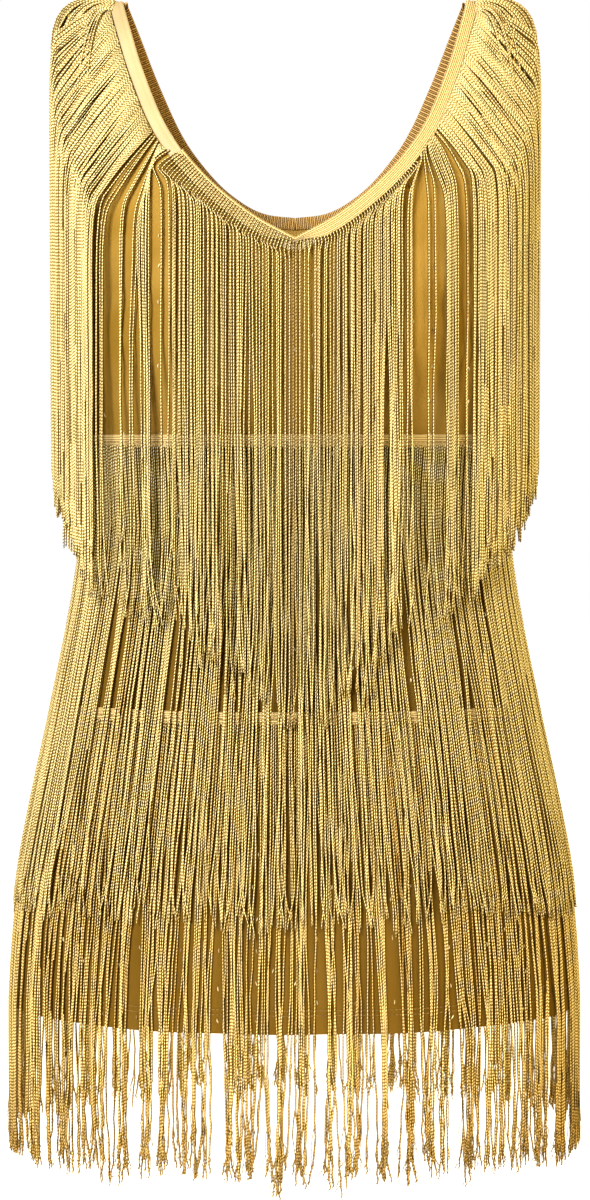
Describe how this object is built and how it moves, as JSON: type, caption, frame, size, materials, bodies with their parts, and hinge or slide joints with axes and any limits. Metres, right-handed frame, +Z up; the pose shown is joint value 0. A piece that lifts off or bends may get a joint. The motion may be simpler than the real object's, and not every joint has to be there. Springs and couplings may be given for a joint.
{
  "type": "fringed sleeveless dress",
  "caption": "Short V-neck dress of stretch knit covered by tiers of long hanging fringe, hollow in its worn shape.",
  "frame": {"origin": "midway between the two shoulder seams, at the height where the shoulders carry the dress", "axes": "+Z up, towards the wearer's head; -Y to the front of the dress; +X to the wearer's left"},
  "size_m": [0.4353, 0.2946, 0.8606],
  "materials": {
    "knit": "ochre stretch knit, matt with a faint sheen",
    "fringe": "pale gold twisted viscose fringe yarn, soft sheen",
    "satin": "smooth satin-faced band, pale cream gold",
    "rib": "dark ochre ribbed elastic trim"
  },
  "bodies": {
    "root": {"front_panel": "knit", "back_panel": "knit", "neck_band": "satin", "back_neck_trim": "rib", "neck_fringe_front": "fringe", "neck_fringe_back": "fringe", "bust_fringe": "fringe", "hip_fringe": "fringe"}
  },
  "joints": []
}
